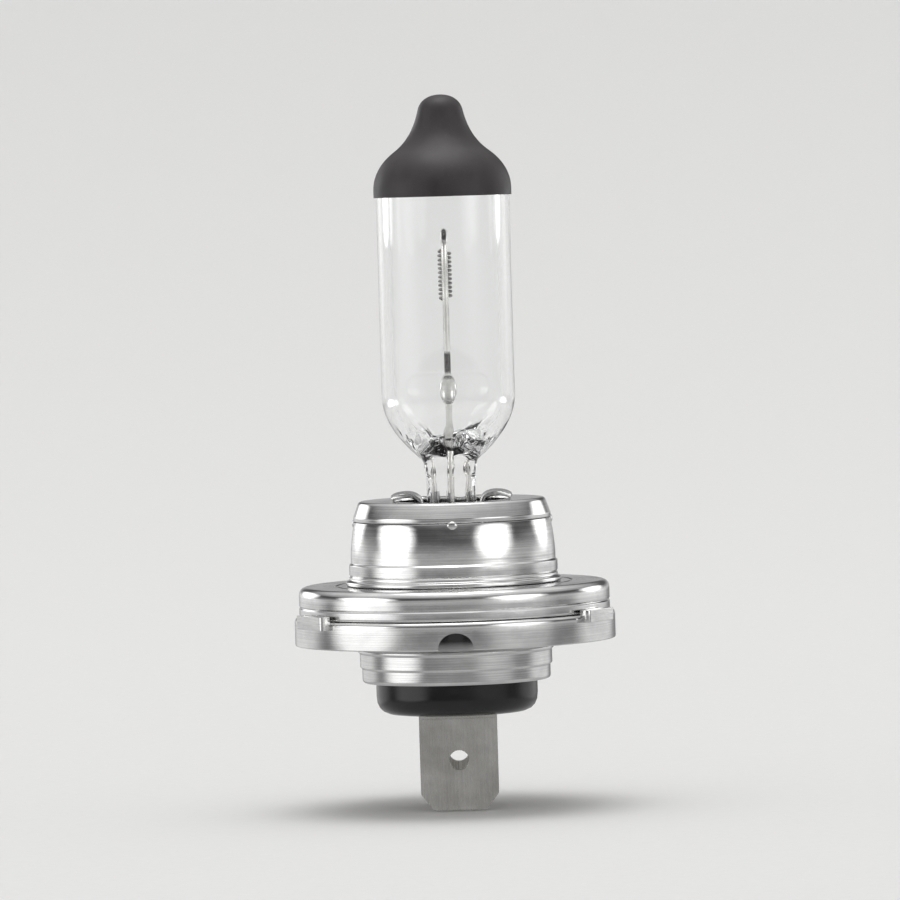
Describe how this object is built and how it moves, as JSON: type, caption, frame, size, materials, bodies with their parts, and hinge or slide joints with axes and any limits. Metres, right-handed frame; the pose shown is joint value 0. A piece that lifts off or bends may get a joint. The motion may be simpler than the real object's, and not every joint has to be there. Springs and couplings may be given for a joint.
{
  "type": "headlight bulb",
  "caption": "Single-filament halogen headlight bulb: a quartz capsule with a dark coated tip in a stepped metal prefocus base with two flat contact blades.",
  "frame": {"origin": "on the bulb's axis, in the reference plane formed by the tops of the flange's three lugs", "axes": "+Z along the bulb's axis towards the coated tip, -Y towards the flange's indexing notch, both blades' broad faces face Y"},
  "size_m": [0.026, 0.0266, 0.0577],
  "materials": {
    "quartz_glass": "clear polished quartz",
    "glare_coating": "opaque matte baked coating",
    "tungsten": "dull drawn tungsten wire",
    "molybdenum": "drawn molybdenum wire",
    "sealing_foil": "thin rolled molybdenum foil",
    "plated_steel": "bright nickel-plated pressed steel",
    "spring_steel": "satin spring steel",
    "black_plastic": "semi-gloss moulded black plastic",
    "tinned_metal": "satin tinned strip"
  },
  "bodies": {
    "root": {"glass_envelope": "quartz_glass", "glare_coating": "glare_coating", "filament": "tungsten", "long_lead": "molybdenum", "short_lead": "molybdenum", "quartz_bridge": "quartz_glass", "long_lead_foil": "sealing_foil", "short_lead_foil": "sealing_foil", "rear_outer_lead": "molybdenum", "front_outer_lead": "molybdenum", "right_clamp_plate": "spring_steel", "left_clamp_plate": "spring_steel", "burner_sleeve": "spring_steel", "holder_cap": "plated_steel", "focus_collar": "plated_steel", "pilot_ring": "plated_steel", "flange_ring": "plated_steel", "base_can": "plated_steel", "insulator": "black_plastic", "rear_blade": "tinned_metal", "front_blade": "tinned_metal"}
  },
  "joints": []
}
